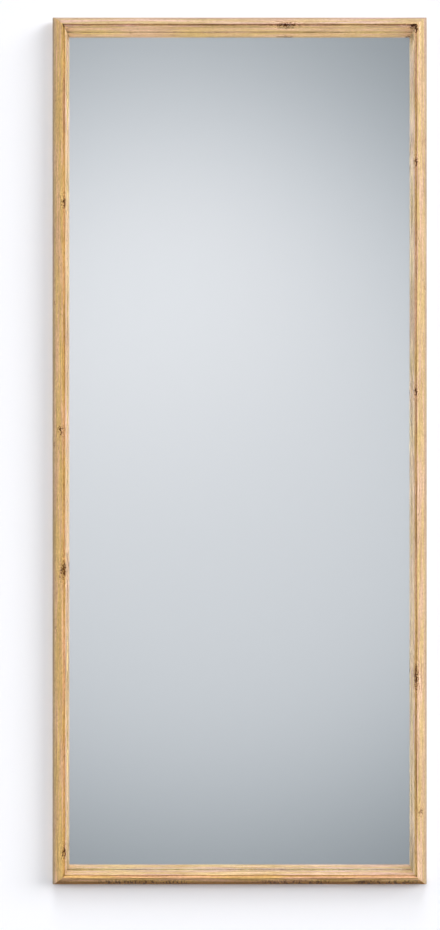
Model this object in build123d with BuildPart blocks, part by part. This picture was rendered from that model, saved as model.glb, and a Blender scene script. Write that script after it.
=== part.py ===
"""Full-length framed wall mirror, 700 x 1620 mm.

Four mitred oak mouldings hold a glass mirror in a rabbet that opens at the back. Rubber blocks
centre the glass, a fibreboard panel backs it, and flat steel points driven into the rabbet keep
both in. Strap hangers with swinging D-rings hang the frame upright or on its side, and four
bumpers hold it off the wall.

Frame of the model: the origin lies on the wall, behind the centre of the mirror. +X is to the
right, +Z is up, and +Y points into the wall, so that the mirror looks along -Y.
"""

import os

from build123d import *

os.makedirs("parts", exist_ok=True)

# ---------------------------------------------------------------------------------------------
# Driving dimensions, in millimetres. "Inset" runs inwards from the frame's outer edge, and
# "rise" runs forwards from the frame's back face.
# ---------------------------------------------------------------------------------------------
frame_width = 700
frame_height = 1620

# Moulding
moulding_rise = 30  # back face to the front arris
outer_flat = 5  # upright flat around the outer edge
face_inset = 22.9  # outer edge to the arris, across the rounded face
face_crown = 4.2  # bulge of the rounded face over its chord
land_width = 0.4  # flat beside the arris
groove_width = 4.5  # round-bottomed groove inside the arris
groove_depth = 3
rim_width = 0.7  # strip between the groove and the sight edge
edge_softening = 0.3
rabbet_inset = 21.5  # outer edge to the rabbet's side wall
ledge_rise = 11  # the ledge that the glass lies against

# Glass and backing
glass_thickness = 4
glass_play = 2  # gap around the glass, filled by the setting blocks
silver_thickness = 0.2
board_thickness = 3
block_length = 30
rail_block_offset = 200  # blocks beside the centre of the top and bottom rails
stile_block_offset = 500

# V-nails across the mitres
nail_leg = 5
nail_sheet = 0.6
nail_height = 10
nail_insets = (7, 13)

# Framers points
point_sheet = 0.6
point_width = 5
point_bite = 6  # length driven into the rabbet's side wall
point_taper = 2.5
point_reach = 9  # length that lies on the board
rail_point_offsets = (-170, 170)
stile_point_offsets = (-640, -320, 0, 320, 640)

# Strap hangers
strap_width = 14
strap_sheet = 0.8
strap_length = 34  # ring bar to the strap's end
strap_corner = 6
fold_length = 5.5  # ring bar to where the two layers meet
screw_offsets = (8.5, 25)  # from the ring bar
strap_hole_radius = 2.1
upright_hanger_drop = 300  # top edge of the frame to the ring bar
sideways_hanger_inset = 175  # right edge of the frame to the ring bar

# D-rings
ring_wire_radius = 1.25
ring_running_gap = 0.08
ring_side_gap = 0.6
ring_bend_radius = 1.6
ring_leg = 4.65  # ring bar to the centre of the round bow

# Hanger screws
screw_shank_radius = 1.75
screw_head_radius = 3.1
screw_head_height = 2
screw_dome = 0.7  # part of the head's height that is rounded
screw_length = 14
screw_point = 3.5
recess_span = 3.6
recess_slot = 0.9
recess_depth = 1.1

# Wall bumpers
bumper_height = 5
bumper_radius = 6
bumper_softening = 1.2
bumper_offset = 40  # top and bottom edges of the frame to a bumper's centre

# ---------------------------------------------------------------------------------------------
# Sizes that follow
# ---------------------------------------------------------------------------------------------
sight_inset = face_inset + land_width + groove_width + rim_width
glass_inset = rabbet_inset + glass_play
glass_width = frame_width - 2 * glass_inset
glass_height = frame_height - 2 * glass_inset
glass_back = ledge_rise - glass_thickness
silver_back = glass_back - silver_thickness
board_back = silver_back - board_thickness
point_back = board_back - point_sheet
back_centre_inset = rabbet_inset / 2
eye_inner_radius = ring_wire_radius + ring_running_gap
eye_outer_radius = eye_inner_radius + strap_sheet
ring_half_width = strap_width / 2 + ring_side_gap + ring_wire_radius

LEFT, RIGHT = Vector(-1, 0, 0), Vector(1, 0, 0)
DOWN, UP = Vector(0, 0, -1), Vector(0, 0, 1)
TO_VIEWER, TO_WALL = Vector(0, -1, 0), Vector(0, 1, 0)


def reach(outwards):
    """Distance from the mirror's centre to the outer edge on one side."""
    return frame_width / 2 if outwards.X else frame_height / 2


def half_run(outwards):
    """Half the outer length of the moulding on one side."""
    return frame_height / 2 if outwards.X else frame_width / 2


def run_direction(outwards):
    """The way that the moulding on one side runs."""
    return UP if outwards.X else RIGHT


def at_edge(outwards, offset=0, rise=0):
    """A point on one side's outer edge, `offset` along it from its middle."""
    back = TO_VIEWER * (bumper_height + rise)
    return outwards * reach(outwards) + run_direction(outwards) * offset + back


def edge_plane(outwards, offset=0, rise=0):
    """Plane parallel to the wall at an outer edge: x runs inwards, z towards the viewer."""
    origin = at_edge(outwards, offset, rise)
    return Plane(origin=origin, x_dir=-outwards, z_dir=TO_VIEWER)


def sheet_plane(rise):
    """Plane parallel to the wall on the mirror's centre: x to the right, y up."""
    return Plane(origin=TO_VIEWER * (bumper_height + rise), x_dir=RIGHT, z_dir=TO_VIEWER)


# ---------------------------------------------------------------------------------------------
# Glass, silvering and backing board: three sheets of one outline, back to back
# ---------------------------------------------------------------------------------------------
with BuildPart() as mirror_glass:
    with BuildSketch(sheet_plane(glass_back)):
        Rectangle(glass_width, glass_height)
    extrude(amount=glass_thickness)

with BuildPart() as mirror_silvering:
    with BuildSketch(sheet_plane(silver_back)):
        Rectangle(glass_width, glass_height)
    extrude(amount=silver_thickness)

with BuildPart() as backing_board:
    with BuildSketch(sheet_plane(board_back)):
        Rectangle(glass_width, glass_height)
    extrude(amount=board_thickness)

# Rubber blocks between the edges of the glass and the rabbet, two on each side
with BuildPart() as glass_setting_blocks:
    for side in (LEFT, RIGHT, DOWN, UP):
        block_offset = stile_block_offset if side.X else rail_block_offset
        for offset in (-block_offset, block_offset):
            with BuildSketch(edge_plane(side, offset, glass_back)):
                with Locations((rabbet_inset + glass_play / 2, 0)):
                    Rectangle(glass_play, block_length)
            extrude(amount=glass_thickness)

# ---------------------------------------------------------------------------------------------
# Fasteners of the frame
# ---------------------------------------------------------------------------------------------
# V-nails: small steel angles driven in from the back, one leg in each of the two mouldings
with BuildPart() as corner_v_nails:
    for side in (-1, 1):
        for end in (-1, 1):
            for inset in nail_insets:
                far = inset + nail_leg
                inner = inset + nail_sheet
                angle = [(inset, inset), (far, inset), (far, inner), (inner, inner)]
                angle += [(inner, far), (inset, far)]
                with BuildSketch(sheet_plane(0)):
                    with BuildLine():
                        Polyline(
                            [
                                (side * (frame_width / 2 - x), end * (frame_height / 2 - y))
                                for x, y in angle
                            ],
                            close=True,
                        )
                    make_face()
                extrude(amount=nail_height)

# Framers points: flat steel tabs with a tapered tip, driven into the rabbet's side wall so
# that their free ends lie on the board
with BuildPart() as framers_points:
    for side in (LEFT, RIGHT, DOWN, UP):
        for offset in stile_point_offsets if side.X else rail_point_offsets:
            tip = rabbet_inset - point_bite
            shoulder = tip + point_taper
            free_end = rabbet_inset + point_reach
            half_width = point_width / 2
            with BuildSketch(edge_plane(side, offset, point_back)):
                with BuildLine():
                    Polyline(
                        (tip, 0),
                        (shoulder, -half_width),
                        (free_end, -half_width),
                        (free_end, half_width),
                        (shoulder, half_width),
                        close=True,
                    )
                make_face()
            extrude(amount=point_sheet)

# ---------------------------------------------------------------------------------------------
# Strap hangers. Each stands on its own plane on the frame's back: the origin lies under the
# ring bar, x runs along the bar, y points the way that the ring pulls, z away from the wood.
# ---------------------------------------------------------------------------------------------


def hanger_plane(outwards, offset, bar_direction):
    """Plane of one hanger, on the middle of a moulding's back face."""
    origin = at_edge(outwards, offset) - outwards * back_centre_inset
    return Plane(origin=origin, x_dir=bar_direction, z_dir=TO_WALL)


upright_offset = frame_height / 2 - upright_hanger_drop
sideways_offset = frame_width / 2 - sideways_hanger_inset
hanger_planes = {
    "upright_left": hanger_plane(LEFT, upright_offset, LEFT),
    "upright_right": hanger_plane(RIGHT, upright_offset, LEFT),
    "sideways_top": hanger_plane(UP, sideways_offset, UP),
    "sideways_bottom": hanger_plane(DOWN, sideways_offset, UP),
}


def make_strap(seat):
    """A steel strip folded over the ring bar, both layers drilled for two screws."""
    side_view = Plane(origin=seat.origin, x_dir=seat.y_dir, z_dir=seat.x_dir)
    doubled = 2 * strap_sheet
    with BuildPart() as strap:
        with BuildSketch(side_view):
            with Locations((0, eye_outer_radius)):
                Circle(eye_outer_radius)
            Rectangle(fold_length, doubled, align=(Align.MAX, Align.MIN))
            make_hull()
            Rectangle(strap_length, doubled, align=(Align.MAX, Align.MIN))
            with Locations((0, eye_outer_radius)):
                Circle(eye_inner_radius, mode=Mode.SUBTRACT)
        extrude(amount=strap_width / 2, both=True)
        tail_edges = strap.edges().filter_by(Axis(seat.origin, seat.z_dir))
        tail_edges = tail_edges.sort_by(Axis(seat.origin, seat.y_dir))[:2]
        fillet(tail_edges, radius=strap_corner)
        with BuildSketch(seat):
            with Locations(*[(0, -offset) for offset in screw_offsets]):
                Circle(strap_hole_radius)
        extrude(amount=doubled, mode=Mode.SUBTRACT)
    return strap


def make_d_ring(seat):
    """A welded D of round wire: a straight bar in the strap's eye, two legs and a round bow."""
    with BuildPart() as ring:
        with BuildLine(seat.offset(eye_outer_radius)):
            base = FilletPolyline(
                (-ring_half_width, ring_leg),
                (-ring_half_width, 0),
                (ring_half_width, 0),
                (ring_half_width, ring_leg),
                radius=ring_bend_radius,
            )
            ThreePointArc(base @ 1, (0, ring_leg + ring_half_width), base @ 0)
        with BuildSketch(Plane(origin=base @ 0, z_dir=base % 0)):
            Circle(ring_wire_radius)
        sweep()
    return ring


straps = {place: make_strap(seat) for place, seat in hanger_planes.items()}
d_rings = {place: make_d_ring(seat) for place, seat in hanger_planes.items()}

# Pan-head wood screws with a cross recess, two through each strap
with BuildPart() as hanger_screws:
    head_seat = 2 * strap_sheet
    head_top = head_seat + screw_head_height
    head_rim = head_top - screw_dome
    tip_depth = head_seat - screw_length
    for seat in hanger_planes.values():
        for offset in screw_offsets:
            axis_point = seat.from_local_coords((0, -offset, 0))
            with BuildSketch(Plane(origin=axis_point, x_dir=seat.x_dir, z_dir=-seat.y_dir)):
                with BuildLine():
                    Polyline(
                        (0, head_top),
                        (0, tip_depth),
                        (screw_shank_radius, tip_depth + screw_point),
                        (screw_shank_radius, head_seat),
                        (screw_head_radius, head_seat),
                        (screw_head_radius, head_rim),
                    )
                    TangentArc(
                        (0, head_top), (screw_head_radius, head_rim), tangent=(1, 0)
                    )
                make_face()
            revolve(axis=Axis(axis_point, seat.z_dir))
            recess_mouth = seat.from_local_coords((0, -offset, head_top))
            with BuildSketch(Plane(origin=recess_mouth, x_dir=seat.x_dir, z_dir=seat.z_dir)):
                Rectangle(recess_span, recess_slot)
                Rectangle(recess_slot, recess_span)
            extrude(amount=-recess_depth, mode=Mode.SUBTRACT)

# ---------------------------------------------------------------------------------------------
# The moulding's section: x runs inwards from the outer edge, y forwards from the back face
# ---------------------------------------------------------------------------------------------
with BuildSketch() as moulding_section:
    with BuildLine():
        rounded_face = SagittaArc((0, outer_flat), (face_inset, moulding_rise), face_crown)
        groove_start = face_inset + land_width
        groove_end = groove_start + groove_width
        groove_floor = moulding_rise - groove_depth
        groove_round = min(groove_width / 2, groove_depth)
        Line(rounded_face @ 1, (groove_start, moulding_rise))
        groove = FilletPolyline(
            (groove_start, moulding_rise),
            (groove_start, groove_floor),
            (groove_end, groove_floor),
            (groove_end, moulding_rise),
            radius=groove_round * 0.98,
        )
        Polyline(
            groove @ 1,
            (sight_inset, moulding_rise),
            (sight_inset, ledge_rise),
            (rabbet_inset, ledge_rise),
            (rabbet_inset, 0),
            (0, 0),
            (0, outer_flat),
        )
    make_face()
    front_corners = [(face_inset, moulding_rise), (sight_inset, moulding_rise)]
    fillet(
        [
            moulding_section.vertices().sort_by_distance((x, y, 0))[0]
            for x, y in front_corners
        ],
        radius=edge_softening,
    )


def make_moulding(outwards):
    """One side of the frame, mitred at both ends, with its nail, point and screw holes."""
    section_plane = Plane(
        origin=at_edge(outwards), x_dir=-outwards, z_dir=(-outwards).cross(TO_VIEWER)
    )
    with BuildPart() as moulding:
        with BuildSketch(section_plane):
            add(moulding_section.sketch)
        extrude(amount=half_run(outwards), both=True)
        for end in (-1, 1):
            corner = at_edge(outwards, end * half_run(outwards))
            past_the_mitre = run_direction(outwards) * end - outwards
            split(bisect_by=Plane(origin=corner, z_dir=past_the_mitre), keep=Keep.BOTTOM)
        for fastener in (corner_v_nails, framers_points, hanger_screws):
            add(fastener.part, mode=Mode.SUBTRACT)
    return moulding


mouldings = {
    "frame_left_stile": make_moulding(LEFT),
    "frame_right_stile": make_moulding(RIGHT),
    "frame_bottom_rail": make_moulding(DOWN),
    "frame_top_rail": make_moulding(UP),
}

# Bumpers: soft discs glued near the four back corners, rounded where they touch the wall
with BuildPart() as wall_bumpers:
    for side in (LEFT, RIGHT):
        for end in (-1, 1):
            offset = end * (frame_height / 2 - bumper_offset)
            with BuildSketch(edge_plane(side, offset, -bumper_height)):
                with Locations((back_centre_inset, 0)):
                    Circle(bumper_radius)
            extrude(amount=bumper_height)
    fillet(wall_bumpers.edges().group_by(Axis.Y)[-1], radius=bumper_softening)

# ---------------------------------------------------------------------------------------------
# One STEP file for each piece
# ---------------------------------------------------------------------------------------------
pieces = {
    **mouldings,
    "corner_v_nails": corner_v_nails,
    "mirror_glass": mirror_glass,
    "mirror_silvering": mirror_silvering,
    "glass_setting_blocks": glass_setting_blocks,
    "backing_board": backing_board,
    "framers_points": framers_points,
    "hanger_screws": hanger_screws,
    "wall_bumpers": wall_bumpers,
}
for place in hanger_planes:
    pieces[f"hanger_strap_{place}"] = straps[place]
    pieces[f"d_ring_{place}"] = d_rings[place]

for name, piece in pieces.items():
    piece.part.label = name
    export_step(piece.part, f"parts/{name}.step")
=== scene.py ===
"""A full-length framed wall mirror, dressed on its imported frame.

Metres. The origin lies on the wall behind the centre of the mirror, +X runs to the right, +Z up
and +Y into the wall, so that the mirror looks along -Y.
"""

from math import pi, radians

import bpy
import numpy as np
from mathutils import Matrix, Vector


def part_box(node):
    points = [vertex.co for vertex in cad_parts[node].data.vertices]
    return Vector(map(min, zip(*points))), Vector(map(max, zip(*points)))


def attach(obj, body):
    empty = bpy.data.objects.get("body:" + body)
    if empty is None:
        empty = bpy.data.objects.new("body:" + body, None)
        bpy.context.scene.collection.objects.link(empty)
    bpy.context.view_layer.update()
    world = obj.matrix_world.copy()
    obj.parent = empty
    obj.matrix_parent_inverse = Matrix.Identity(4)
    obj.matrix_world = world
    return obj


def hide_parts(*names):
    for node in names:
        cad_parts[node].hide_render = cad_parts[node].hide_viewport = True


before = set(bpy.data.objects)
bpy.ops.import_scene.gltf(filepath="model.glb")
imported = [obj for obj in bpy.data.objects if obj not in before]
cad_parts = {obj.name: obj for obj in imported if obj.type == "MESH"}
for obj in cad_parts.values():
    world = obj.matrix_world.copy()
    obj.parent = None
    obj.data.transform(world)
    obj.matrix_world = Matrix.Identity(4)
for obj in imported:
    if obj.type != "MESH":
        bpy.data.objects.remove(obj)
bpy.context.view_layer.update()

MM = 0.001

# ---------------------------------------------------------------------------------------------
# Oak mouldings: two stiles and two rails run from one section of solid oak, with the small
# knots and checks of a rustic grade, mitred and glued at the corners under a satin lacquer.
# ---------------------------------------------------------------------------------------------
OUTER_FLAT = 5 * MM
FACE_INSET = 22.9 * MM  # outer edge to the arris, across the rounded face
FACE_CROWN = 4.2 * MM
LAND_WIDTH = 0.4 * MM
GROOVE_WIDTH = 4.5 * MM
GROOVE_DEPTH = 3 * MM
SIGHT_INSET = 28.5 * MM
RABBET_INSET = 21.5 * MM
LEDGE_RISE = 11 * MM
SEATING_GAP = 0.05 * MM  # between the wood and what is bedded against it
SANDED_CORNER = 0.4 * MM
SANDED_LIP = 0.15 * MM
MITRE_EASING = 0.25 * MM
MITRE_GAP = 0.05 * MM
STATION_STEP = 6 * MM  # along a moulding, and finer at its knots
KNOT_STEP = 0.7 * MM
KNOT_HOLLOW = 0.35 * MM
RIM_FADE = 10 * MM
LIP_FADE = 0.4 * MM
SEAT_FADE = 0.5 * MM
SEAT_LINE = 0.1 * MM  # above the ledge, where the painted light of the seat is full
LACQUER_END, LACQUER_FULL = 0.2 * MM, 1.2 * MM  # above the back, which has none
NICKS_END, NICKS_FULL = FACE_INSET - 3 * MM, FACE_INSET - 10 * MM
GRAIN_RELIEF = 0.06 * MM

PINK_TINGE = (1.06, 0.99, 1.52, 1)
BRUISE = (0.24, 0.21, 0.2, 1)
KNOT_HALO = (0.44, 0.215, 0.07, 1)
KNOT_DARK, KNOT_LIGHT = (0.031, 0.003, 0.0, 1), (0.14, 0.036, 0.0, 1)

LEFT, RIGHT = np.array((-1.0, 0, 0)), np.array((1.0, 0, 0))
DOWN, UP = np.array((0, 0, -1.0)), np.array((0, 0, 1.0))
TO_VIEWER = np.array((0, -1.0, 0))

frame_back = -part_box("frame_left_stile")[1].y
moulding_rise = -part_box("frame_left_stile")[0].y - frame_back
half_width, half_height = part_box("frame_right_stile")[1].x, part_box("frame_top_rail")[1].z

# Knots in millimetres, by moulding: place along it (rightwards or upwards from its middle),
# inset from the outer edge, half length, half width; and how dark each is, up to 1
KNOTS = {
    "frame_left_stile": [
        (459, 25.5, 8, 2.9, 0.95),
        (273, 6, 4, 2.0, 0.55),
        (37, 19, 5.5, 3.6, 0.95),
        (11, 5, 4, 2.2, 0.5),
        (-220, 25, 11, 4.6, 1.0),
        (-330, 9, 6, 3.0, 0.25),
        (-741, 26.5, 8, 3.4, 1.0),
    ],
    "frame_right_stile": [
        (779, 25, 4.5, 3.4, 1.0),
        (575, 5, 9, 2.2, 0.4),
        (534, 25, 5.5, 3.0, 0.85),
        (301, 7, 3, 2.0, 0.45),
        (110, 25.5, 5, 2.8, 0.95),
        (-417, 25.5, 16, 3.8, 0.95),
        (-668, 16, 6, 3.0, 0.6),
    ],
    "frame_top_rail": [(85, 25.5, 12, 4.0, 1.0), (321, 27.5, 6, 3.6, 1.0)],
    "frame_bottom_rail": [(86, 9, 6, 2.6, 0.45)],
}
# Stretches whose outer rim is worn, in millimetres: middle along the moulding, half length
WORN = {"frame_bottom_rail": [(-175, 85), (105, 62), (272, 60)]}
WORN_FADE = 15  # millimetres to each side of a worn stretch's end
WORN_NICKS = 0.9


def arc(start, end, crown, count):
    """Points of a circular arc from start to end that bulges by crown to its left.

    A chord c and a bulge b give the radius (c^2/4 + b^2) / 2b, and the points step evenly
    through the arc's angle about the centre, which lies on the chord's bisector.
    """
    start, end = np.array(start), np.array(end)
    length = np.hypot(*(end - start))
    along = (end - start) / length
    left = np.array([-along[1], along[0]])
    radius = (length**2 / 4 + crown**2) / (2 * crown)
    centre = (start + end) / 2 - left * (radius - crown)
    half_angle = np.arcsin(np.clip(length / 2 / radius, -1, 1))
    angle = np.linspace(-half_angle, half_angle, count)
    return centre + radius * (np.outer(np.sin(angle), along) + np.outer(np.cos(angle), left))


def eased(before, corner, after, size, count=4):
    """A corner rubbed round: the quadratic curve with its end points at `size` from the corner
    on both sides, and the corner itself as its control point.
    """
    before, corner, after = (np.array(p, dtype=float) for p in (before, corner, after))
    start = corner + size * (before - corner) / np.hypot(*(before - corner))
    end = corner + size * (after - corner) / np.hypot(*(after - corner))
    t = np.linspace(0, 1, count)[:, None]
    return (1 - t) ** 2 * start + 2 * t * (1 - t) * corner + t**2 * end


def moulding_section():
    """The section as a closed loop of (inset, rise): inset runs in from the outer edge, rise
    forwards from the back. The rounded face is one arc, and the groove is a U of two short
    walls and a half circle.
    """
    top, ledge, back = moulding_rise, LEDGE_RISE + SEATING_GAP, SEATING_GAP
    lip, far_lip = FACE_INSET + LAND_WIDTH, FACE_INSET + LAND_WIDTH + GROOVE_WIDTH
    wall_foot = top - GROOVE_DEPTH + GROOVE_WIDTH / 2
    face = arc((0, OUTER_FLAT), (FACE_INSET, top), FACE_CROWN, 30)
    return np.vstack(
        [
            [(0, OUTER_FLAT / 2)],
            face[:-1],
            eased(face[-2], face[-1], (lip, top), SANDED_CORNER * 0.45),
            eased((FACE_INSET, top), (lip, top), (lip, wall_foot), SANDED_LIP, 3),
            arc((lip, wall_foot), (far_lip, wall_foot), -GROOVE_WIDTH / 2, 15),
            eased((far_lip, wall_foot), (far_lip, top), (SIGHT_INSET, top), SANDED_LIP, 3),
            eased((far_lip, top), (SIGHT_INSET, top), (SIGHT_INSET, ledge), SANDED_CORNER),
            [(SIGHT_INSET, (top + ledge) / 2)],
            eased((SIGHT_INSET, top), (SIGHT_INSET, ledge), (0, ledge), SANDED_CORNER),
            [(RABBET_INSET, ledge), (RABBET_INSET, ledge / 2)],
            eased((RABBET_INSET, ledge), (RABBET_INSET, back), (0, back), SANDED_CORNER),
            [(RABBET_INSET / 2, back)],
            eased((RABBET_INSET, back), (0, back), (0, OUTER_FLAT), SANDED_CORNER),
        ]
    )


def make_piece(name, points, faces, crease=30):
    """A mesh piece from points and faces, shaded smooth up to the crease angle."""
    mesh = bpy.data.meshes.new(name)
    mesh.from_pydata(np.asarray(points).tolist(), [], faces)
    mesh.shade_smooth()
    mesh.set_sharp_from_angle(angle=radians(crease))
    piece = bpy.data.objects.new(name, mesh)
    bpy.context.scene.collection.objects.link(piece)
    return piece


def tube_faces(stations, around):
    """Quads of a tube of `stations` closed loops of `around` points, and its two end faces."""
    ring, step = np.meshgrid(np.arange(stations - 1), np.arange(around), indexing="ij")
    here, beside = ring * around + step, ring * around + (step + 1) % around
    quads = np.stack([here, here + around, beside + around, beside], axis=-1)
    near_end = np.arange(around)
    far_end = (stations - 1) * around + near_end[::-1]
    return quads.reshape(-1, 4).tolist() + [near_end.tolist(), far_end.tolist()]


def knot_centre(outwards, place, inset):
    """The middle of a knot, on the front of the moulding's section."""
    reach = half_width if outwards[0] else half_height
    section = moulding_section()
    front = section[: np.argmax(section[:, 0] >= SIGHT_INSET)]
    rise = np.interp(inset * MM, front[:, 0], front[:, 1])
    run = np.array((0, 0, 1.0)) if outwards[0] else np.array((1.0, 0, 0))
    return outwards * (reach - inset * MM) + run * place * MM + TO_VIEWER * (frame_back + rise)


def make_moulding(node, outwards):
    """One side of the frame: the section carried along the run between two mitres.

    Past the middle stretch, each point of the section goes on to its own end, which lies its
    own inset short of the corner. The last loops draw in along the section's normals by a
    quarter circle, the eased mitre. Each knot sinks the wood in a hollow of the form
    exp(-r^4), r being the distance from its centre over its half length and half width, with
    checks that run out from the middle.
    """
    run = np.cross(outwards, TO_VIEWER)
    reach, half_run = half_width, half_height
    if outwards[2]:
        reach, half_run = half_height, half_width
    section = moulding_section()
    tangent = np.roll(section, -1, 0) - np.roll(section, 1, 0)
    normal = np.stack([-tangent[:, 1], tangent[:, 0]], 1)
    normal /= np.hypot(*normal.T)[:, None]

    straight = half_run - SIGHT_INSET - STATION_STEP
    stations = [np.arange(-straight, straight, STATION_STEP), [straight]]
    for place, _, half_length, _, _ in KNOTS[node]:
        middle, near = place * MM * run.sum(), 1.4 * half_length * MM
        stations.append(np.arange(middle - near, middle + near, KNOT_STEP))
    stations = np.unique(np.round(np.clip(np.concatenate(stations), -straight, straight), 5))

    turn = np.linspace(0, pi / 2, 4)
    drawn_in = MITRE_EASING * (1 - np.sin(turn))
    easing = np.concatenate([drawn_in, np.zeros(len(stations) + 6), drawn_in[::-1]])
    outline = section - easing[:, None, None] * normal
    end = half_run - outline[:, :, 0]
    last = end[:4] - (MITRE_GAP + MITRE_EASING * (1 - np.cos(turn)))[:, None]
    towards = straight + (end[4] - straight) * np.array([0.75, 0.5, 0.25])[:, None]
    middle = np.repeat(stations[:, None], len(section), axis=1)
    position = np.vstack([-last, -towards, middle, towards[::-1], last[::-1]])
    points = (
        outwards * (reach - outline[:, :, :1])
        + run * position[:, :, None]
        + TO_VIEWER * (frame_back + outline[:, :, 1:])
    )

    into_wood = outwards * normal[:, :1] - TO_VIEWER * normal[:, 1:]
    for place, inset, half_length, half_wide, depth in KNOTS[node]:
        offset = points - knot_centre(outwards, place, inset)
        lengthwise = offset @ run
        crosswise = np.linalg.norm(offset - lengthwise[:, :, None] * run, axis=2)
        lengthwise, crosswise = lengthwise / half_length / MM, crosswise / half_wide / MM
        distance = np.hypot(lengthwise, crosswise)
        checks = np.clip(np.cos(5 * np.arctan2(crosswise, lengthwise) + place), 0, 1) ** 8
        sunk = KNOT_HOLLOW * depth * np.exp(-(distance**4)) * (0.4 + 0.6 * checks)
        points = points + sunk[:, :, None] * into_wood
    return make_piece(node + "_oak", points.reshape(-1, 3), tube_faces(*points.shape[:2]))


def add_node(tree, kind, inputs=(), **settings):
    """A shader node with its settings, and its inputs set to values or linked to sockets."""
    node = tree.nodes.new("ShaderNode" + kind)
    for name, value in settings.items():
        setattr(node, name, value)
    for name, value in dict(inputs).items():
        if isinstance(value, bpy.types.NodeSocket):
            tree.links.new(value, node.inputs[name])
        else:
            node.inputs[name].default_value = value
    return node


def calculate(tree, operation, *values):
    """The result of one Math node."""
    return add_node(tree, "Math", dict(enumerate(values)), operation=operation).outputs[0]


def spread(tree, value, low, high, to_low=0.0, to_high=1.0, smooth=True):
    """value carried from the range low..high to another, and held at its ends."""
    inputs = {0: value, 1: low, 2: high, 3: to_low, 4: to_high}
    kind = "SMOOTHSTEP" if smooth else "LINEAR"
    return add_node(tree, "MapRange", inputs, interpolation_type=kind).outputs[0]


def stretched_noise(tree, vector, scale, detail=2.0, roughness=0.5):
    """Noise whose cells are 1/scale metres long along each axis."""
    scaled = add_node(tree, "VectorMath", {0: vector, 1: scale}, operation="MULTIPLY")
    inputs = {"Vector": scaled.outputs[0], "Scale": 1.0, "Detail": detail, "Roughness": roughness}
    return add_node(tree, "TexNoise", inputs).outputs["Fac"]


def layer_tone(tree, tone, layers):
    """tone times (layer * gain + base), for each (layer, gain, base) in turn."""
    for layer, gain, base in layers:
        change = calculate(tree, "MULTIPLY_ADD", layer, gain, base)
        tone = calculate(tree, "MULTIPLY", tone, change)
    return tone


def blend_values(tree, share, first, second):
    """Two numbers mixed by share, by one Mix node."""
    return add_node(tree, "Mix", {0: share, 2: first, 3: second}, data_type="FLOAT").outputs[0]


def blend_colours(tree, share, first, second, kind="MIX"):
    """Two colours mixed by share, by one Mix node."""
    inputs = {0: share, 6: first, 7: second}
    return add_node(tree, "Mix", inputs, data_type="RGBA", blend_type=kind).outputs[2]


def start_group(name, inputs, outputs):
    """An empty shader node group: (tree, its inputs by name, its output node)."""
    tree = bpy.data.node_groups.new(name, "ShaderNodeTree")
    for label, kind in inputs.items():
        tree.interface.new_socket(label, in_out="INPUT", socket_type="NodeSocket" + kind)
    for label, kind in outputs.items():
        tree.interface.new_socket(label, in_out="OUTPUT", socket_type="NodeSocket" + kind)
    return tree, tree.nodes.new("NodeGroupInput").outputs, tree.nodes.new("NodeGroupOutput")


def place_group(tree, group, inputs):
    """A node group placed in a material: its outputs by name."""
    return add_node(tree, "Group", inputs, node_tree=group).outputs


def build_knot_group():
    """One knot: Core is its dark heart, ragged at the rim and broken by paler chips. Swell is the
    bulge round it that turns the growth rings aside, and Curl the light and dark of the figure
    it throws up. r is the distance from the centre over the radii. Core is 1 where r, moved in
    and out by three sizes of noise, is small, Swell is exp(-0.16 r^2), and Curl a sine of r.
    """
    tree, given, result = start_group(
        "oak_knot",
        {"Vector": "Vector", "Centre": "Vector", "Radii": "Vector", "Darkness": "Float"},
        {"Core": "Float", "Swell": "Float", "Curl": "Float"},
    )
    offset = add_node(tree, "VectorMath", {0: given["Vector"], 1: given["Centre"]},
                      operation="SUBTRACT")
    scaled = add_node(tree, "VectorMath", {0: offset.outputs[0], 1: given["Radii"]},
                      operation="DIVIDE").outputs[0]
    distance = add_node(tree, "VectorMath", {0: scaled}, operation="LENGTH").outputs["Value"]
    lobes = stretched_noise(tree, scaled, (1.7, 1.7, 1.7), 1.0)
    torn = stretched_noise(tree, offset.outputs[0], (340.0, 340.0, 340.0), 1.0)
    teeth = stretched_noise(tree, scaled, (5.5, 5.5, 5.5), 2.0, 0.6)
    chips = stretched_noise(tree, offset.outputs[0], (420.0, 420.0, 420.0), 0.0)
    reached = distance
    for noise, reach, middle in ((lobes, 1.7, 1.15), (teeth, 1.6, 0.8), (torn, 4.0, 2.0)):
        reached = calculate(tree, "SUBTRACT", reached, middle)
        reached = calculate(tree, "MULTIPLY_ADD", noise, reach, reached)
    core = calculate(tree, "MULTIPLY", spread(tree, reached, 0.95, 0.6), given["Darkness"])
    core = calculate(tree, "MULTIPLY", core, spread(tree, chips, 0.56, 0.62, 1.0, 0.2))
    tree.links.new(core, result.inputs["Core"])

    square = calculate(tree, "POWER", distance, 2.0)
    swell = calculate(tree, "EXPONENT", calculate(tree, "MULTIPLY", square, -0.16))
    swell = calculate(tree, "MULTIPLY", swell, given["Darkness"])
    tree.links.new(swell, result.inputs["Swell"])
    turns = calculate(tree, "MULTIPLY", distance, 7.0)
    curl = calculate(tree, "SINE", calculate(tree, "MULTIPLY_ADD", lobes, 14.0, turns))
    curl = calculate(tree, "MULTIPLY_ADD", spread(tree, chips, 0.5, 0.62), 1.4, curl)
    tree.links.new(calculate(tree, "MULTIPLY", curl, swell), result.inputs["Curl"])
    return tree


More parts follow.
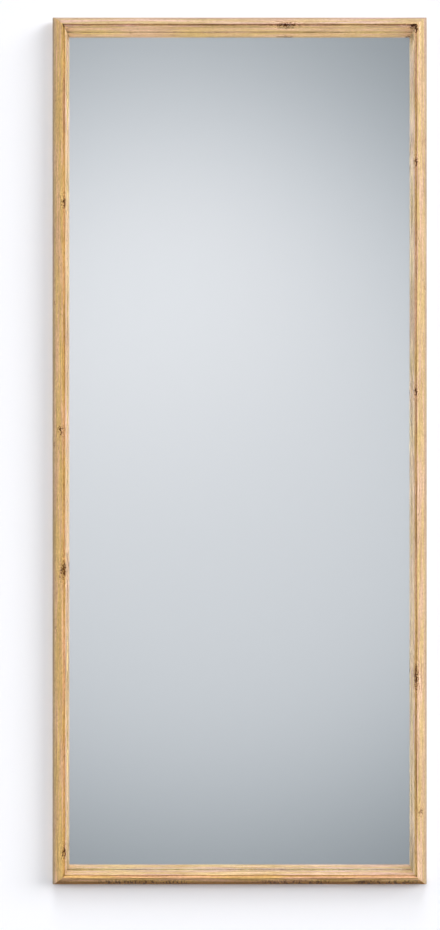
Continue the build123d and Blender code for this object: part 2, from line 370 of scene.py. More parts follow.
def build_section_group():
    """Painted light and shade across the moulding, from the inset and the rise of a point in its
    section: a painted shade at the outer edge, easing to 1 at the arris, a painted light in the
    groove and another behind the lip, where the glass sits. Rim is 1 at the outer edge, where a
    painted shade is laid on, and falls to 0. The lip and back mask is 1 on the lip that falls to
    the glass, where a painted light is laid on, and on the moulding's back, which took less of the
    stain. Outer is 1 on the outer half of the face, which meets knocks, and 0 at the arris and on
    the back.
    """
    tree, given, result = start_group(
        "oak_section",
        {"Inset": "Float", "Rise": "Float", "Painted Edge Shade": "Float", "Painted Groove Light": "Float",
         "Painted Seat Light": "Float", "Rim Width": "Float"},
        {"Shade": "Float", "Rim": "Float", "Lip And Back": "Float", "Outer": "Float"},
    )
    inset, rise = given["Inset"], given["Rise"]
    # Painted shade across the rounded face: darkest at the outer edge and gone at the arris.
    shade = spread(tree, inset, 0.0, FACE_INSET, given["Painted Edge Shade"], 1.0, smooth=False)
    # Painted light in the groove: darker in the groove of the stiles and the bottom rail, lighter
    # in the top rail's.
    groove_middle = FACE_INSET + LAND_WIDTH + GROOVE_WIDTH / 2
    aside = calculate(tree, "ABSOLUTE", calculate(tree, "SUBTRACT", inset, groove_middle))
    sunk = spread(tree, rise, moulding_rise, moulding_rise - GROOVE_DEPTH / 2)
    grooved = spread(tree, aside, GROOVE_WIDTH * 0.6, GROOVE_WIDTH * 0.4)
    painted_groove_mask = calculate(tree, "MULTIPLY", grooved, sunk)
    shade = calculate(tree, "MULTIPLY", shade, blend_values(tree, painted_groove_mask, 1.0, given["Painted Groove Light"]))
    groove_end = FACE_INSET + LAND_WIDTH + GROOVE_WIDTH
    lip = spread(tree, inset, groove_end - LIP_FADE, groove_end)
    # Painted light behind the lip, on the wood seen through the glass: lighter on the stiles and
    # the bottom rail, darker on the top rail.
    behind_lip = spread(tree, inset, RABBET_INSET - SEAT_FADE, RABBET_INSET)
    on_ledge = spread(tree, rise, LEDGE_RISE + SEAT_FADE, LEDGE_RISE + SEAT_LINE)
    seated = calculate(tree, "MULTIPLY", behind_lip, on_ledge)
    shade = calculate(tree, "MULTIPLY", shade, blend_values(tree, seated, 1.0, given["Painted Seat Light"]))
    lacquered = spread(tree, rise, LACQUER_END, LACQUER_FULL)
    shade = blend_values(tree, lacquered, 1.0, shade)
    tree.links.new(shade, result.inputs["Shade"])
    # Rim marks the outer edge, where a painted shade is laid on.
    rim_end = calculate(tree, "SUBTRACT", given["Rim Width"], RIM_FADE)
    rim = calculate(tree, "MULTIPLY", spread(tree, inset, given["Rim Width"], rim_end), lacquered)
    tree.links.new(rim, result.inputs["Rim"])
    outer = spread(tree, inset, NICKS_END, NICKS_FULL)
    outer = calculate(tree, "MULTIPLY", outer, lacquered)
    tree.links.new(outer, result.inputs["Outer"])
    # The lip and back mask: a painted light lies on the lip, and the back keeps the raw wood's
    # paler colour.
    lip_and_back = calculate(tree, "MAXIMUM", lip, calculate(tree, "SUBTRACT", 1.0, lacquered))
    tree.links.new(lip_and_back, result.inputs["Lip And Back"])
    return tree


def build_oak_group():
    """Lacquered oak in the board's own metres, x along the grain. Growth rings are cylinders
    about the pith, on the x axis, that wander along the board and swell round the knots. Streaks
    of three lengths run through them, and pores are short dark dashes, most of them in the
    early wood at the start of each ring, and darker where shade is painted, which deepens that
    painted shade. Shade is the painted light and shade across the section that scales the colour;
    a painted shade tints the outer rim, and a painted light the lip, with the same tint on the raw
    back. Nicks is how much of the face is torn by short bruised marks across the grain. Round a
    knot the wood deepens to an amber halo, and its heart is a grained dark brown.
    """
    tree, given, result = start_group(
        "oak_board",
        {"Vector": "Vector", "Core": "Float", "Swell": "Float", "Curl": "Float",
         "Shade": "Float", "Rim": "Float", "Late Wood": "Color", "Early Wood": "Color",
         "Rim Painted Shade": "Color", "Lip And Back": "Float", "Bare Stain And Painted Light": "Color", "Nicks": "Float"},
        {"Color": "Color", "Roughness": "Float", "Height": "Float"},
    )
    vector = given["Vector"]
    wander = stretched_noise(tree, vector, (2.2, 9.0, 9.0), 2.0)
    across = add_node(tree, "VectorMath", {0: vector, 1: (0.0, 1.0, 1.0)}, operation="MULTIPLY")
    radius = add_node(tree, "VectorMath", {0: across.outputs[0]}, operation="LENGTH")
    moved = calculate(tree, "MULTIPLY_ADD", wander, 0.028, radius.outputs["Value"])
    moved = calculate(tree, "MULTIPLY_ADD", given["Swell"], 0.008, moved)
    rings = calculate(tree, "MULTIPLY", moved, 380.0)
    uneven = stretched_noise(tree, vector, (5.0, 90.0, 90.0), 2.0)
    rings = calculate(tree, "MULTIPLY_ADD", uneven, 2.0, rings)
    phase = calculate(tree, "FRACT", rings)
    opening, closing = spread(tree, phase, 0.0, 0.12), spread(tree, phase, 0.75, 0.3)
    early = calculate(tree, "MULTIPLY", opening, closing)

    band = stretched_noise(tree, vector, (7.0, 200.0, 200.0), 2.0)
    streak = stretched_noise(tree, vector, (38.0, 420.0, 420.0), 3.0, 0.65)
    fleck = stretched_noise(tree, vector, (150.0, 620.0, 620.0), 2.0)
    fibre = stretched_noise(tree, vector, (60.0, 1900.0, 1900.0), 3.0, 0.6)
    drift = stretched_noise(tree, vector, (9.0, 190.0, 190.0), 2.0)
    dashes = stretched_noise(tree, vector, (130.0, 2600.0, 2600.0), 1.0)
    # Pores darken more where shade is painted, so they deepen the painted shade.
    shaded = calculate(tree, "SUBTRACT", 1.0, given["Shade"])
    pored_and_shaded = calculate(tree, "MULTIPLY_ADD", shaded, 1.6, 0.3)
    pored_and_shaded = calculate(tree, "MULTIPLY_ADD", early, 0.7, pored_and_shaded)
    pores = calculate(tree, "MULTIPLY", spread(tree, dashes, 0.56, 0.68), pored_and_shaded)

    wood = blend_colours(tree, early, given["Late Wood"], given["Early Wood"])
    pink = blend_colours(tree, 1.0, wood, PINK_TINGE, "MULTIPLY")
    wood = blend_colours(tree, spread(tree, drift, 0.42, 0.62), wood, pink)
    tone = layer_tone(tree, calculate(tree, "MULTIPLY_ADD", band, 0.9, 0.55), (
        (streak, 0.9, 0.55), (fleck, 0.8, 0.6), (fibre, 0.4, 0.8),
        (pores, -0.45, 1.0), (given["Curl"], 0.42, 1.0)))
    tone = calculate(tree, "MULTIPLY", tone, spread(tree, fleck, 0.36, 0.24, 1.0, 0.62))
    # The section's painted light and shade scales the tone here; the tone then warms and deepens
    # the colour as it darkens, grain and painted shade alike.
    tone = calculate(tree, "MULTIPLY", tone, given["Shade"])
    warm = add_node(tree, "CombineColor", {
        "Red": calculate(tree, "POWER", tone, 0.85),
        "Green": calculate(tree, "POWER", tone, 1.02),
        "Blue": calculate(tree, "POWER", tone, 1.25)}).outputs[0]
    wood = blend_colours(tree, 1.0, wood, warm, "MULTIPLY")
    # Painted shade on the outer rim: greyed on the stiles and the top rail, deep brown on the
    # bottom rail.
    stain_and_painted_light = blend_colours(tree, 1.0, wood, given["Rim Painted Shade"], "MULTIPLY")
    wood = blend_colours(tree, given["Rim"], wood, stain_and_painted_light)
    # Painted light on the lip: a cooler cast on the stiles and the bottom rail, lighter on the
    # right stile and lightest on the top rail's lip, which faces down. On the back the same tint
    # stands for the raw wood's own colour.
    stain_and_painted_light = blend_colours(tree, 1.0, wood, given["Bare Stain And Painted Light"], "MULTIPLY")
    wood = blend_colours(tree, given["Lip And Back"], wood, stain_and_painted_light)
    torn = stretched_noise(tree, vector, (320.0, 90.0, 90.0), 1.0)
    torn = spread(tree, calculate(tree, "MULTIPLY_ADD", fibre, 0.3, torn), 0.62, 0.74)
    torn = calculate(tree, "MULTIPLY", torn, given["Nicks"])
    bruised = blend_colours(tree, 1.0, wood, BRUISE, "MULTIPLY")
    wood = blend_colours(tree, torn, wood, bruised)
    halo = calculate(tree, "MULTIPLY", given["Swell"], 0.4)
    wood = blend_colours(tree, halo, wood, KNOT_HALO)
    grained = spread(tree, calculate(tree, "ADD", streak, fleck), 0.8, 1.2)
    heart = blend_colours(tree, grained, KNOT_DARK, KNOT_LIGHT)
    wood = blend_colours(tree, given["Core"], wood, heart)
    tree.links.new(wood, result.inputs["Color"])

    rough = calculate(tree, "MULTIPLY_ADD", fibre, 0.16, 0.40)
    rough = calculate(tree, "MULTIPLY_ADD", pores, 0.2, rough)
    tree.links.new(calculate(tree, "MULTIPLY_ADD", given["Core"], 0.25, rough),
                   result.inputs["Roughness"])
    height = calculate(tree, "MULTIPLY_ADD", pores, -1.0, calculate(tree, "MULTIPLY", fibre, 0.35))
    tree.links.new(calculate(tree, "MULTIPLY_ADD", given["Core"], -0.6, height),
                   result.inputs["Height"])
    return tree


def start_material(name):
    """An empty material: (material, its tree, its Principled shader)."""
    material = bpy.data.materials.new(name)
    material.use_nodes = True
    tree = material.node_tree
    return material, tree, tree.nodes["Principled BSDF"]


def add_relief(tree, shader, height, depth):
    """A Bump node that raises the surface by up to depth metres."""
    inputs = {"Height": height, "Distance": depth, "Strength": 1.0}
    tree.links.new(add_node(tree, "Bump", inputs).outputs["Normal"], shader.inputs["Normal"])


def apply_finish(tree, shader, finish, relief):
    """A group's colour, roughness and height on a shader, its relief up to relief metres."""
    tree.links.new(finish["Color"], shader.inputs["Base Color"])
    tree.links.new(finish["Roughness"], shader.inputs["Roughness"])
    add_relief(tree, shader, finish["Height"], relief)


knot_group, section_group, oak_group = build_knot_group(), build_section_group(), build_oak_group()
PITH = {  # where each board was sawn: place along the log, and away from its pith
    "frame_left_stile": (3.1, 0.075, 0.382),
    "frame_right_stile": (7.7, 0.09, -0.305),
    "frame_top_rail": (12.4, 0.08, -0.748),
    "frame_bottom_rail": (17.9, 0.085, 0.846),
}
# The boards' colours differ partly at random and partly as painted shade: the left stile and the
# bottom rail, away from the light, are more saturated, and the top rail is darker against the light
# from above.
WOOD = {  # late and early wood, painted shade of the rim, painted light of the lip and stain of the back, nicks, gloss, and painted light across the section
    "frame_left_stile": (
        (0.78, 0.524, 0.192, 1), (0.602, 0.38, 0.126, 1),
        (0.44, 0.47, 0.62, 1), (0.85, 0.89, 1.2, 1), 0.1, 0.5,
        {"Painted Edge Shade": 0.97, "Painted Groove Light": 0.95, "Painted Seat Light": 1.5, "Rim Width": 11 * MM}),
    "frame_right_stile": (
        (0.72, 0.526, 0.241, 1), (0.577, 0.395, 0.168, 1),
        (0.71, 0.75, 0.93, 1), (1.04, 1.11, 1.42, 1), 0.1, 0.5,
        {"Painted Edge Shade": 0.78, "Painted Groove Light": 0.82, "Painted Seat Light": 1.25, "Rim Width": 11 * MM}),
    "frame_top_rail": (
        (0.575, 0.417, 0.216, 1), (0.457, 0.314, 0.152, 1),
        (0.65, 0.69, 0.84, 1), (1.21, 1.19, 1.13, 1), 0.1, 0.5,
        {"Painted Edge Shade": 0.77, "Painted Groove Light": 1.35, "Painted Seat Light": 0.6, "Rim Width": 14 * MM}),
    "frame_bottom_rail": (
        (0.76, 0.497, 0.199, 1), (0.586, 0.358, 0.131, 1),
        (0.76, 0.5, 0.11, 1), (0.815, 0.875, 1.11, 1), 0.15, 0.08,
        {"Painted Edge Shade": 0.86, "Painted Groove Light": 0.95, "Painted Seat Light": 1.9, "Rim Width": 18 * MM}),
}


def make_oak(node, outwards):
    """The oak of one moulding, sawn from its own place in the log, with its own knots and, on
    the stretches of its rim that are worn, more nicks.
    """
    material, tree, shader = start_material(node + "_oak")
    place = add_node(tree, "TexCoord").outputs["Object"]
    turned = (0, pi / 2, 0) if outwards[0] else (0, 0, 0)
    inputs = {"Vector": place, "Location": PITH[node], "Rotation": turned}
    grain = add_node(tree, "Mapping", inputs).outputs["Vector"]
    core, swell, curl = 0.0, 0.0, 0.0
    for where, inset, half_length, half_wide, darkness in KNOTS[node]:
        radii = np.full(3, half_wide * MM)
        radii[2 if outwards[0] else 0] = half_length * MM
        knot = place_group(tree, knot_group, {
            "Vector": place,
            "Centre": knot_centre(outwards, where, inset),
            "Radii": radii,
            "Darkness": darkness,
        })
        core = calculate(tree, "MAXIMUM", core, knot["Core"])
        swell = calculate(tree, "MAXIMUM", swell, knot["Swell"])
        curl = calculate(tree, "ADD", curl, knot["Curl"])
    out = add_node(tree, "VectorMath", {0: place, 1: outwards}, operation="DOT_PRODUCT")
    reach = half_width if outwards[0] else half_height
    inset = calculate(tree, "SUBTRACT", reach, out.outputs["Value"])
    along_x, forward, along_z = add_node(tree, "SeparateXYZ", {0: place}).outputs
    rise = calculate(tree, "SUBTRACT", -frame_back, forward)
    late, early, rim_painted_shade, bare_stain_and_painted_light, nicks, gloss, painted_light_settings = WOOD[node]
    for middle, half_length in WORN.get(node, ()):
        away = calculate(tree, "SUBTRACT", along_z if outwards[0] else along_x, middle * MM)
        away = calculate(tree, "ABSOLUTE", away)
        worn_end, worn_full = (half_length + WORN_FADE) * MM, (half_length - WORN_FADE) * MM
        worn = spread(tree, away, worn_end, worn_full, 0.0, WORN_NICKS)
        nicks = calculate(tree, "MAXIMUM", nicks, worn)
    shader.inputs["Specular IOR Level"].default_value = gloss
    shade = place_group(tree, section_group, {"Inset": inset, "Rise": rise, **painted_light_settings})
    board = place_group(tree, oak_group, {
        "Vector": grain, "Core": core, "Swell": swell, "Curl": curl, "Shade": shade["Shade"],
        "Rim": shade["Rim"], "Rim Painted Shade": rim_painted_shade,
        "Lip And Back": shade["Lip And Back"], "Bare Stain And Painted Light": bare_stain_and_painted_light,
        "Nicks": calculate(tree, "MULTIPLY", nicks, shade["Outer"]),
        "Late Wood": late, "Early Wood": early})
    apply_finish(tree, shader, board, GRAIN_RELIEF)
    return material


for node, outwards in {
    "frame_left_stile": LEFT,
    "frame_right_stile": RIGHT,
    "frame_top_rail": UP,
    "frame_bottom_rail": DOWN,
}.items():
    moulding = make_moulding(node, outwards)
    moulding.data.materials.append(make_oak(node, outwards))
    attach(moulding, "mirror")
    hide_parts(node)

# ---------------------------------------------------------------------------------------------
# Corner V-nails: strips of spring steel bent to a V, which hold each mitre closed while its glue
# sets. They are pressed into the back of the corner.
# ---------------------------------------------------------------------------------------------
def build_metal_group():
    """Metal under a thin finish: rolling lines whose cells are 1/Lines metres long, clouds where
    the finish lies thicker, pits, and fine scratches that cross the lines aslant.
    """
    tree, given, result = start_group(
        "finished_metal",
        {"Vector": "Vector", "Lines": "Vector", "Bright": "Color", "Dull": "Color"},
        {"Color": "Color", "Roughness": "Float", "Height": "Float"},
    )
    vector = given["Vector"]
    clouds = stretched_noise(tree, vector, (160.0, 160.0, 160.0), 3.0, 0.6)
    lines = stretched_noise(tree, vector, given["Lines"])
    pits = stretched_noise(tree, vector, (4200.0, 4200.0, 4200.0), 1.0)
    pits = spread(tree, pits, 0.62, 0.74)
    inputs = {"Vector": vector, "Rotation": (0.3, 0.9, 0.5)}
    aslant = add_node(tree, "Mapping", inputs).outputs["Vector"]
    scratches = stretched_noise(tree, aslant, (110.0, 3800.0, 3800.0), 0.0)
    scratches = spread(tree, scratches, 0.66, 0.74)
    finish = spread(tree, clouds, 0.36, 0.64)

    colour = blend_colours(tree, finish, given["Bright"], given["Dull"])
    tone = calculate(tree, "MULTIPLY_ADD", lines, 0.36, 0.82)
    tone = layer_tone(tree, tone, ((pits, -0.3, 1.0),))
    tone = calculate(tree, "MULTIPLY_ADD", scratches, 0.12, tone)
    tree.links.new(blend_colours(tree, 1.0, colour, tone, "MULTIPLY"), result.inputs["Color"])
    rough = calculate(tree, "MULTIPLY_ADD", finish, 0.14, 0.2)
    rough = calculate(tree, "MULTIPLY_ADD", lines, 0.14, rough)
    rough = calculate(tree, "MULTIPLY_ADD", pits, 0.2, rough)
    tree.links.new(rough, result.inputs["Roughness"])
    height = calculate(tree, "MULTIPLY_ADD", lines, 0.4, calculate(tree, "MULTIPLY", pits, -1.0))
    height = calculate(tree, "MULTIPLY_ADD", scratches, -0.4, height)
    tree.links.new(height, result.inputs["Height"])
    return tree


metal_group = build_metal_group()


def make_metal(name, lines, bright, dull, relief):
    """A metal finish in the piece's own metres: (material, its tree, its shader, its outputs)."""
    material, tree, shader = start_material(name)
    shader.inputs["Metallic"].default_value = 1.0
    place = add_node(tree, "TexCoord").outputs["Object"]
    inputs = {"Vector": place, "Lines": lines, "Bright": bright, "Dull": dull}
    finish = place_group(tree, metal_group, inputs)
    apply_finish(tree, shader, finish, relief)
    return material, tree, shader, finish


nail_steel = make_metal(
    "nail_steel", (900.0, 60.0, 900.0), (0.62, 0.60, 0.57, 1), (0.44, 0.41, 0.37, 1), 0.01 * MM)[0]
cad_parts["corner_v_nails"].material_slots[0].material = nail_steel

# ---------------------------------------------------------------------------------------------
# Mirror: a sheet of 4 mm float glass with seamed edges. Its back carries a coat of silver, which
# goes dark from the edge where damp creeps in.
# ---------------------------------------------------------------------------------------------
SEAM = 0.6 * MM
COAT_GAP = 0.02 * MM
EDGE_CREEP = 3 * MM  # how far the silver has gone dark from its sawn edge

glass_low, glass_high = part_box("mirror_glass")


def make_pane():
    """The pane as a stack of rectangular loops: the seamed edges are flats at 45 degrees."""
    half = np.array([glass_high.x, glass_high.z])
    front, back = glass_low.y, glass_high.y - COAT_GAP
    corners = np.array([(-1, -1), (1, -1), (1, 1), (-1, 1)])
    depth = np.array([front, front + SEAM, back - SEAM, back])
    inset = np.array([SEAM, 0, 0, SEAM])
    flat = corners[None] * (half[None, None] - inset[:, None, None])
    y = np.repeat(depth[:, None, None], 4, axis=1)
    points = np.concatenate([flat[:, :, :1], y, flat[:, :, 1:]], axis=2)
    return make_piece("mirror_pane", points.reshape(-1, 3), tube_faces(4, 4))


def edge_distance(tree, place, corner):
    """How far a point of a sheet lies in from its nearest edge. The sheet is centred on the
    origin and reaches to corner, and the lesser of corner - |place| in x and z is taken.
    """
    size = add_node(tree, "VectorMath", {0: place}, operation="ABSOLUTE").outputs[0]
    border = add_node(tree, "VectorMath", {0: tuple(corner), 1: size}, operation="SUBTRACT")
    border = add_node(tree, "SeparateXYZ", {0: border.outputs[0]}).outputs
    return calculate(tree, "MINIMUM", border["X"], border["Z"])


pane = make_pane()
glass, tree, shader = start_material("float_glass")
shader.inputs["Base Color"].default_value = (0.985, 0.995, 0.99, 1)
shader.inputs["Transmission Weight"].default_value = 1.0
shader.inputs["Roughness"].default_value = 0.0
shader.inputs["IOR"].default_value = 1.52
ray = add_node(tree, "LightPath").outputs
past = calculate(tree, "GREATER_THAN", ray["Diffuse Depth"], 0.5)
past = calculate(tree, "MAXIMUM", past, ray["Is Shadow Ray"])
clear = add_node(tree, "BsdfTransparent", {"Color": (0.93, 0.95, 0.94, 1)}).outputs[0]
mixed = add_node(tree, "MixShader", {0: past, 1: shader.outputs[0], 2: clear}).outputs[0]
tree.links.new(mixed, tree.nodes["Material Output"].inputs["Surface"])
pane.data.materials.append(glass)
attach(pane, "mirror")
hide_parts("mirror_glass")

silver, tree, shader = start_material("silver_coat")
shader.inputs["Metallic"].default_value = 1.0
place = add_node(tree, "TexCoord").outputs["Object"]
border = edge_distance(tree, place, glass_high)
creep = stretched_noise(tree, place, (350.0, 350.0, 350.0), 3.0, 0.6)
creep = calculate(tree, "MULTIPLY_ADD", creep, -EDGE_CREEP, border)
dulled = spread(tree, creep, 0.0, -EDGE_CREEP * 0.4)
colour = blend_colours(tree, dulled, (0.95, 0.96, 0.97, 1), (0.12, 0.10, 0.08, 1))
tree.links.new(colour, shader.inputs["Base Color"])
tree.links.new(calculate(tree, "MULTIPLY", dulled, 0.5), shader.inputs["Roughness"])
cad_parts["mirror_silvering"].material_slots[0].material = silver

# ---------------------------------------------------------------------------------------------
# Glass setting blocks: pads of black rubber, cut from moulded strip. They lie in the rabbet round
# the glass and keep its edge off the wood.
# ---------------------------------------------------------------------------------------------
def build_rubber_group():
    """Moulded rubber: fine grain, a dry bloom in clouds, and dust in specks."""
    tree, given, result = start_group(
        "moulded_rubber",
        {"Vector": "Vector", "Rubber": "Color", "Bloom": "Color"},
        {"Color": "Color", "Roughness": "Float", "Height": "Float"},
    )
    vector = given["Vector"]
    clouds = stretched_noise(tree, vector, (240.0, 240.0, 240.0), 3.0, 0.6)
    grain = stretched_noise(tree, vector, (2600.0, 2600.0, 2600.0))
    dust = stretched_noise(tree, vector, (1100.0, 1100.0, 1100.0), 1.0)
    dust = spread(tree, dust, 0.64, 0.74)
    bloom = calculate(tree, "MULTIPLY", spread(tree, clouds, 0.4, 0.7), 0.6)
    bloom = calculate(tree, "MAXIMUM", bloom, calculate(tree, "MULTIPLY", dust, 0.7))
    colour = blend_colours(tree, bloom, given["Rubber"], given["Bloom"])
    tone = calculate(tree, "MULTIPLY_ADD", grain, 0.4, 0.8)
    tree.links.new(blend_colours(tree, 1.0, colour, tone, "MULTIPLY"), result.inputs["Color"])
    rough = calculate(tree, "MULTIPLY_ADD", bloom, 0.3, 0.5)
    tree.links.new(rough, result.inputs["Roughness"])
    tree.links.new(calculate(tree, "ADD", grain, dust), result.inputs["Height"])
    return tree


rubber_group = build_rubber_group()


def make_rubber(name, rubber, bloom, relief):
    """A rubber in the piece's own metres."""
    material, tree, shader = start_material(name)
    place = add_node(tree, "TexCoord").outputs["Object"]
    finish = place_group(tree, rubber_group, {"Vector": place, "Rubber": rubber, "Bloom": bloom})
    apply_finish(tree, shader, finish, relief)
    return material


block_rubber = make_rubber(
    "block_rubber", (0.018, 0.018, 0.02, 1), (0.075, 0.075, 0.08, 1), 0.03 * MM)
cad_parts["glass_setting_blocks"].material_slots[0].material = block_rubber

# ---------------------------------------------------------------------------------------------
# Backing board: 3 mm hardboard, pressed from wood fibre. It is sawn to size and lies behind the
# mirror with its smooth side out.
# ---------------------------------------------------------------------------------------------
SAWN_EDGE = 2 * MM  # darker, where the saw went
board_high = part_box("backing_board")[1]

hardboard, tree, shader = start_material("hardboard")
place = add_node(tree, "TexCoord").outputs["Object"]
crossed = add_node(tree, "Mapping", {"Vector": place, "Rotation": (0, 0.7, 0)}).outputs["Vector"]
clouds = stretched_noise(tree, place, (14.0, 14.0, 14.0), 4.0, 0.7)
mottle = stretched_noise(tree, place, (120.0, 120.0, 120.0), 3.0, 0.65)
fibres = stretched_noise(tree, place, (150.0, 1000.0, 1100.0), 2.0, 0.6)
threads = stretched_noise(tree, crossed, (1100.0, 1000.0, 160.0), 2.0, 0.6)
shives = spread(tree, stretched_noise(tree, crossed, (190.0, 900.0, 950.0), 1.0), 0.62, 0.72)
border = edge_distance(tree, place, board_high)
colour = blend_colours(
    tree, spread(tree, clouds, 0.2, 0.8), (0.31, 0.18, 0.088, 1), (0.25, 0.14, 0.066, 1))
tone = layer_tone(tree, calculate(tree, "MULTIPLY_ADD", mottle, 0.5, 0.75), (
    (fibres, 0.7, 0.65), (threads, 0.4, 0.8), (shives, -0.28, 1.0)))
tone = calculate(tree, "MULTIPLY", tone, spread(tree, border, 0.0, SAWN_EDGE, 0.7, 1.0))
colour = blend_colours(tree, 1.0, colour, tone, "MULTIPLY")
tree.links.new(colour, shader.inputs["Base Color"])
rough = calculate(tree, "MULTIPLY_ADD", mottle, 0.25, 0.42)
tree.links.new(rough, shader.inputs["Roughness"])
add_relief(tree, shader, calculate(tree, "ADD", fibres, threads), 0.05 * MM)
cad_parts["backing_board"].material_slots[0].material = hardboard

# ---------------------------------------------------------------------------------------------
# Framer's points: small tabs stamped from thin bright steel. They are shot into the rabbet's wall
# and hold the board in.
# ---------------------------------------------------------------------------------------------
point_steel = make_metal(
    "point_steel", (700.0, 700.0, 90.0), (0.66, 0.66, 0.65, 1), (0.5, 0.49, 0.47, 1), 0.01 * MM)[0]
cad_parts["framers_points"].material_slots[0].material = point_steel

# ---------------------------------------------------------------------------------------------
# Hanger straps: steel strip with a clear zinc plate, folded over the ring's bar to make its eye.
# Each is drilled for the two screws that fix it to the frame's back.
# ---------------------------------------------------------------------------------------------
HANGERS = ("upright_left", "upright_right", "sideways_top", "sideways_bottom")

strap_zinc = make_metal(
    "strap_zinc", (80.0, 1500.0, 1500.0), (0.64, 0.665, 0.70, 1), (0.50, 0.515, 0.53, 1),
    0.012 * MM)[0]
for hanger in HANGERS:
    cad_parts["hanger_strap_" + hanger].material_slots[0].material = strap_zinc

# ---------------------------------------------------------------------------------------------
# D-rings: drawn steel wire bent to a D, welded where its ends meet, and zinc plated. Each swings
# in the eye of its strap.
# ---------------------------------------------------------------------------------------------
ring_zinc = make_metal(
    "ring_zinc", (600.0, 2400.0, 600.0), (0.67, 0.69, 0.72, 1), (0.52, 0.53, 0.55, 1),
    0.01 * MM)[0]
for hanger in HANGERS:
    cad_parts["d_ring_" + hanger].material_slots[0].material = ring_zinc

# ---------------------------------------------------------------------------------------------
# Hanger screws: cold-headed pan-head wood screws, zinc plated. Two fix each strap, driven with a
# cross bit.
# ---------------------------------------------------------------------------------------------
HEAD_RADIUS = 3.1 * MM
SCREWS_ABOVE_TAIL = (9 * MM, 25.5 * MM)  # from the strap's rounded end to each screw
HEADING_LINES = 4200.0  # radians per metre
HEAD_RELIEF = 0.012 * MM

screw_zinc, tree, shader, finish = make_metal(
    "screw_zinc", (900.0, 900.0, 900.0), (0.66, 0.67, 0.69, 1), (0.47, 0.47, 0.48, 1), HEAD_RELIEF)
upright_low, upright_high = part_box("hanger_strap_upright_right")
sideways_low, sideways_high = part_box("hanger_strap_sideways_top")
place = add_node(tree, "TexCoord").outputs["Object"]
folded = add_node(tree, "VectorMath", {0: place}, operation="ABSOLUTE").outputs[0]
radius = 1.0
for along in SCREWS_ABOVE_TAIL:
    for centre in (
        ((upright_low.x + upright_high.x) / 2, 0, upright_low.z + along),
        (sideways_low.x + along, 0, (sideways_low.z + sideways_high.z) / 2),
    ):
        flat = add_node(tree, "VectorMath", {0: folded, 1: (1, 0, 1)}, operation="MULTIPLY")
        inputs = {0: flat.outputs[0], 1: centre}
        apart = add_node(tree, "VectorMath", inputs, operation="DISTANCE").outputs["Value"]
        radius = calculate(tree, "MINIMUM", radius, apart)
turned = calculate(tree, "SINE", calculate(tree, "MULTIPLY", radius, HEADING_LINES))
height = calculate(tree, "MULTIPLY_ADD", turned, 0.3, finish["Height"])
add_relief(tree, shader, height, HEAD_RELIEF)
# Each head is darker towards its middle.
darker_middle = spread(tree, radius, HEAD_RADIUS * 0.45, HEAD_RADIUS * 0.75, 0.55, 1.0)
colour = blend_colours(tree, 1.0, finish["Color"], darker_middle, "MULTIPLY")
tree.links.new(colour, shader.inputs["Base Color"])
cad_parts["hanger_screws"].material_slots[0].material = screw_zinc

# ---------------------------------------------------------------------------------------------
# Wall bumpers: soft grey rubber domes with glued backs. They are stuck to the frame's back near
# its corners and keep it off the wall.
# ---------------------------------------------------------------------------------------------
bumper_rubber = make_rubber(
    "bumper_rubber", (0.20, 0.20, 0.205, 1), (0.33, 0.33, 0.335, 1), 0.02 * MM)
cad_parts["wall_bumpers"].material_slots[0].material = bumper_rubber

# ---------------------------------------------------------------------------------------------
# The room: a white wall that keeps the mirror's shadow, and soft studio light. The world is what
# the glass and the lacquer mirror, a little ambient light, and the white beyond the wall.
# ---------------------------------------------------------------------------------------------
WALL_REACH = 6.0
BEHIND_MIRROR = 12 * MM  # reflections of the wall this near are those on the mirror's back


def make_wall():
    """A flat wall at y = 0, facing the viewer. Light from behind passes it."""
    r = WALL_REACH
    corners = [(-r, 0, -r), (r, 0, -r), (r, 0, r), (-r, 0, r)]
    return make_piece("wall", corners, [[0, 1, 2, 3]])


wall = make_wall()
paint, tree, shader = start_material("wall_paint")
shader.inputs["Base Color"].default_value = (0.90, 0.905, 0.94, 1)
shader.inputs["Roughness"].default_value = 1.0
shader.inputs["Specular IOR Level"].default_value = 0.0
clear = add_node(tree, "BsdfTransparent").outputs[0]
behind = add_node(tree, "NewGeometry").outputs["Backfacing"]
ray = add_node(tree, "LightPath").outputs
through = calculate(tree, "MAXIMUM", behind, ray["Is Shadow Ray"])
close = calculate(tree, "LESS_THAN", ray["Ray Length"], BEHIND_MIRROR)
close = calculate(tree, "MULTIPLY", close, ray["Is Glossy Ray"])
through = calculate(tree, "MAXIMUM", through, close)
mixed = add_node(tree, "MixShader", {0: through, 1: shader.outputs[0], 2: clear}).outputs[0]
tree.links.new(mixed, tree.nodes["Material Output"].inputs["Surface"])
wall.data.materials.append(paint)


def add_softbox(name, azimuth, elevation, level, width):
    """A distant softbox. Azimuth runs rightwards from the mirror's normal and elevation up from
    it, level is its light on a white card that faces it, and width how wide it looks, all
    angles in degrees.
    """
    lamp = bpy.data.lights.new(name, "SUN")
    lamp.energy = level * pi
    lamp.angle = radians(width)
    softbox = bpy.data.objects.new(name, lamp)
    softbox.rotation_euler = (radians(90 - elevation), 0, radians(azimuth))
    softbox.visible_glossy = False
    softbox.visible_transmission = False
    bpy.context.scene.collection.objects.link(softbox)


add_softbox("key", 60, 23, 0.73, 34)
add_softbox("right_fill", 72, 20, 0.27, 34)
add_softbox("high_left", -20, 31, 0.36, 34)
add_softbox("high_right", 20, 31, 0.17, 34)
add_softbox("overhead", 5, 66, 0.46, 26)
add_softbox("left_fill", -80, 20, 0.33, 34)
add_softbox("back", 174, 8, 0.45, 16)
add_softbox("back_low", -172, -6, 0.2, 16)


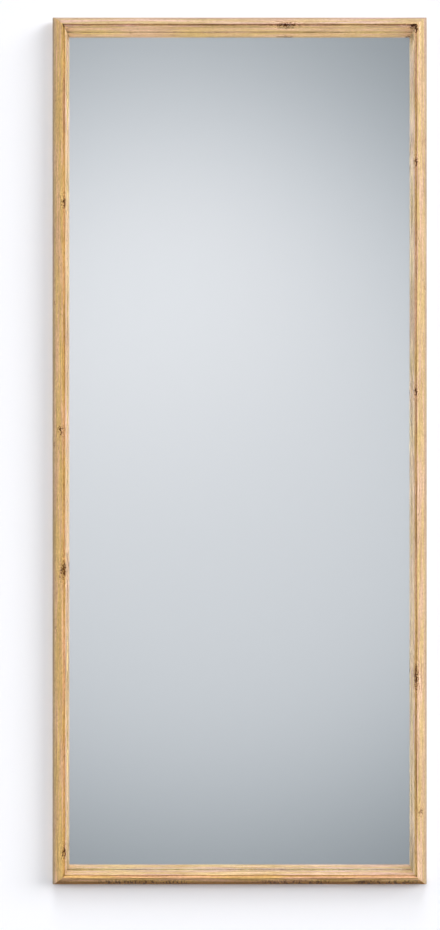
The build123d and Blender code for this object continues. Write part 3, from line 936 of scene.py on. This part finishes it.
ROOM_LEVEL = 0.232
ROOM_DIM, ROOM_BRIGHT = (0.925, 0.99, 1.07, 1), (0.98, 0.985, 1.03, 1)
SOFTBOX_LOW, SOFTBOX_HIGH = (10.0, 8.4, 6.4, 1), (1.1, 1.3, 1.6, 1)


def glow(tree, sideways, upwards, centre, reach, level, power):
    """A soft patch of light: level * exp(-r^(2 power)), r the distance from its centre over
    its reach, both as slopes from the mirror's normal.
    """
    across = calculate(tree, "DIVIDE", calculate(tree, "SUBTRACT", sideways, centre[0]), reach[0])
    along = calculate(tree, "DIVIDE", calculate(tree, "SUBTRACT", upwards, centre[1]), reach[1])
    square = calculate(tree, "MULTIPLY", along, along)
    square = calculate(tree, "MULTIPLY_ADD", across, across, square)
    fall = calculate(tree, "MULTIPLY", calculate(tree, "POWER", square, power), -1.0)
    return calculate(tree, "MULTIPLY", calculate(tree, "EXPONENT", fall), level)


world = bpy.data.worlds.new("studio")
bpy.context.scene.world = world
world.use_nodes = True
tree = world.node_tree
ray = add_node(tree, "LightPath").outputs
direction = add_node(tree, "TexCoord").outputs["Generated"]
direction = add_node(tree, "SeparateXYZ", {0: direction}).outputs
ahead = calculate(tree, "ABSOLUTE", direction[1])
steep = calculate(tree, "MAXIMUM", ahead, 0.1)
sideways = calculate(tree, "DIVIDE", direction[0], steep)
upwards = calculate(tree, "DIVIDE", direction[2], steep)
wide_glow = glow(tree, sideways, upwards, (-0.02, -0.017), (0.466, 0.43), 0.42, 2.1)
high_glow = glow(tree, sideways, upwards, (-0.09, 0.34), (0.31, 0.40), 0.23, 1.0)
room = calculate(tree, "ADD", calculate(tree, "ADD", wide_glow, high_glow), ROOM_LEVEL)
aside = spread(tree, ahead, 0.86, 0.6)
overhead = spread(tree, direction[2], -0.4, 0.2, 0.12, 0.35)
room = calculate(tree, "MULTIPLY_ADD", aside, overhead, room)
room = calculate(tree, "ADD", room, spread(tree, direction[1], 0.0, 0.4, 0.0, 0.6))
tint = spread(tree, room, 0.35, 0.8, smooth=False)
tint = blend_colours(tree, tint, ROOM_DIM, ROOM_BRIGHT)
reflected = blend_colours(tree, 1.0, tint, room, "MULTIPLY")
ambient = spread(tree, direction[2], -0.3, 0.6, 0.0, 0.05)
glossy = calculate(tree, "MAXIMUM", ray["Is Glossy Ray"], ray["Is Transmission Ray"])
seen = blend_colours(tree, glossy, ambient, reflected)
# What the mirror throws back on to the wood and the wall has the softboxes' strength, though the
# mirror itself doesn't show them
bounced = calculate(tree, "MULTIPLY", ray["Diffuse Depth"], ray["Glossy Depth"])
least = calculate(tree, "MULTIPLY_ADD", ray["Is Diffuse Ray"], 100.0, 0.5)
bounced = calculate(tree, "GREATER_THAN", bounced, least)
height = spread(tree, direction[2], -0.8, -0.2)
softboxes = blend_colours(tree, height, SOFTBOX_LOW, SOFTBOX_HIGH)
seen = blend_colours(tree, bounced, seen, softboxes)
seen = blend_colours(tree, ray["Is Camera Ray"], seen, (1, 1, 1, 1))
tree.links.new(seen, tree.nodes["Background"].inputs["Color"])

# ---------------------------------------------------------------------------------------------
# The camera: straight on to the wall and 1.7 m off, a little left of the mirror's centre and
# below it.
# ---------------------------------------------------------------------------------------------
CAMERA_PLACE = (-0.0367, -1.714, -0.0263)
SENSOR_WIDTH, LENS = 36, 35.26  # millimetres

camera_data = bpy.data.cameras.new("camera")
camera_data.sensor_width = SENSOR_WIDTH
camera_data.lens = LENS
camera_data.clip_start = 0.01
camera = bpy.data.objects.new("camera", camera_data)
camera.location = CAMERA_PLACE
camera.rotation_euler = (pi / 2, 0, 0)
bpy.context.scene.collection.objects.link(camera)
bpy.context.scene.camera = camera
bpy.context.scene.view_settings.view_transform = "Standard"
